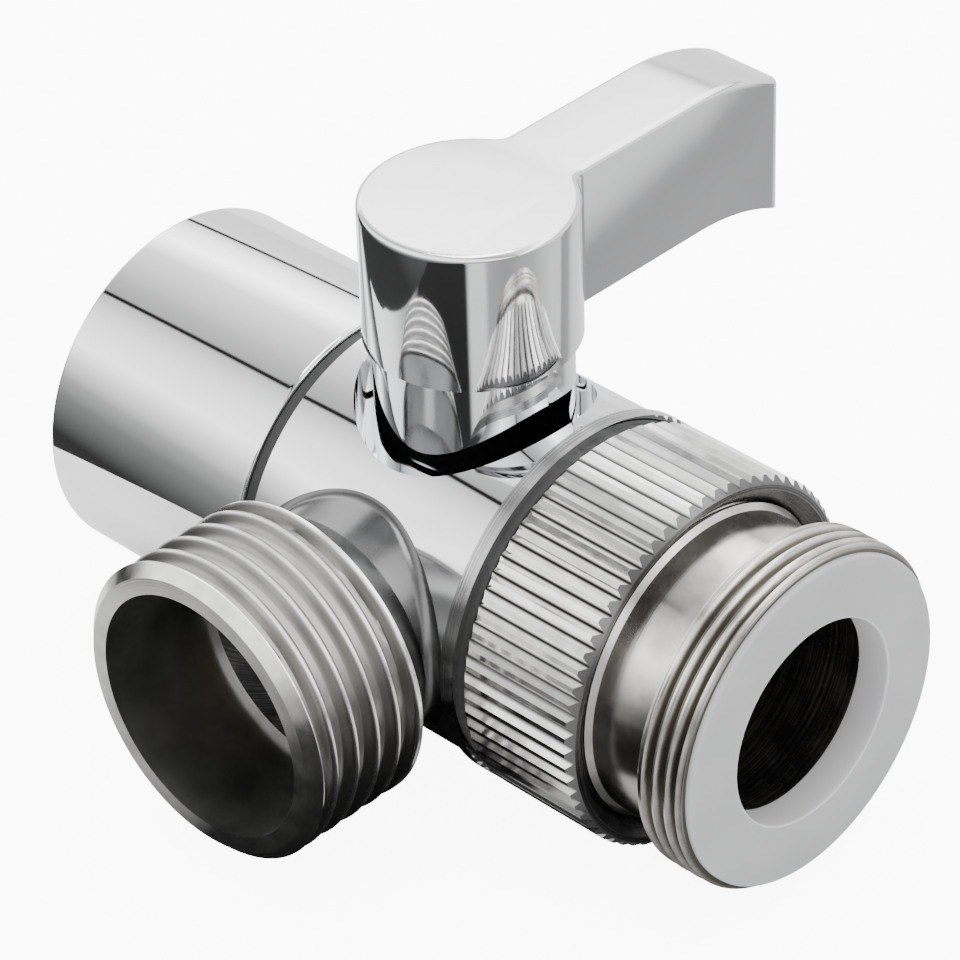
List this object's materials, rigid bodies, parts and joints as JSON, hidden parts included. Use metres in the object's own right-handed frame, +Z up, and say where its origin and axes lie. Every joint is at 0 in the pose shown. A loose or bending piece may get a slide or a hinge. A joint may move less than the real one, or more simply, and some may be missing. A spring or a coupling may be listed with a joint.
{
  "type": "diverter valve",
  "caption": "Chrome diverter valve with a lever handle, knurled swivel inlet nut with thread adapter and washer, threaded side outlet and a smooth aerator end.",
  "frame": {"origin": "centre of the inlet end, on the axis of the inlet thread, in the plane of the adapter's rim", "axes": "+X out of the inlet along the main axis, +Z up along the handle axis, side outlet towards -Y, lever towards +Y"},
  "size_m": [0.057, 0.0513, 0.0393],
  "materials": {
    "chrome": "polished",
    "handle_chrome": "polished",
    "nut_chrome": "polished, vee knurl",
    "nickel": "satin nickel",
    "plug_brass": "turned",
    "steel": "satin",
    "black_rubber": "matte",
    "black_plastic": "matte",
    "white_plastic": "matte",
    "milky_silicone": "translucent"
  },
  "bodies": {
    "valve": {"valve_body": "chrome", "port_liner": "white_plastic", "thrust_washer": "white_plastic", "bonnet_nut": "chrome", "slip_ring": "black_plastic", "snap_ring": "steel", "ring_seal": "black_rubber"},
    "lever": {"handle": "handle_chrome", "handle_screw": "steel", "diverter_plug": "plug_brass", "stem_ring_lower": "black_rubber", "stem_ring_upper": "black_rubber"},
    "nut": {"swivel_nut": "nut_chrome", "adapter_gasket": "black_rubber"},
    "washer": {"face_washer": "milky_silicone"},
    "adapter": {"thread_adapter": "nickel"},
    "insert": {"aerator_gasket": "black_rubber", "aerator_cup": "white_plastic", "aerator_screen": "steel", "aerator_diffuser": "white_plastic", "aerator_honeycomb": "white_plastic"},
    "housing": {"aerator_housing": "chrome"}
  },
  "joints": [
    {"name": "handle_turn", "type": "hinge", "parent": "valve", "child": "lever", "pos_m": [-0.02835, 0, 0], "axis": [0, 0, 1], "range_deg": [-90, 0]},
    {"name": "nut_swivel", "type": "hinge", "parent": "valve", "child": "nut", "pos_m": [0, 0, 0], "axis": [1, 0, 0], "continuous": true},
    {"name": "adapter_out", "type": "slide", "parent": "nut", "child": "washer", "axis": [1, 0, 0], "range_m": [0, 0.0035]},
    {"name": "adapter_screw", "type": "hinge", "parent": "washer", "child": "adapter", "pos_m": [0, 0, 0], "axis": [1, 0, 0], "range_deg": [0, 1350]},
    {"name": "housing_out", "type": "slide", "parent": "valve", "child": "insert", "axis": [-1, 0, 0], "range_m": [0, 0.005]},
    {"name": "housing_screw", "type": "hinge", "parent": "insert", "child": "housing", "pos_m": [-0.05, 0, 0], "axis": [-1, 0, 0], "range_deg": [0, 1900]}
  ],
  "couplings": [
    {"joint": "adapter_screw", "follows": "adapter_out", "rad_per_m": 6283.2},
    {"joint": "housing_screw", "follows": "housing_out", "rad_per_m": 6283.2}
  ]
}
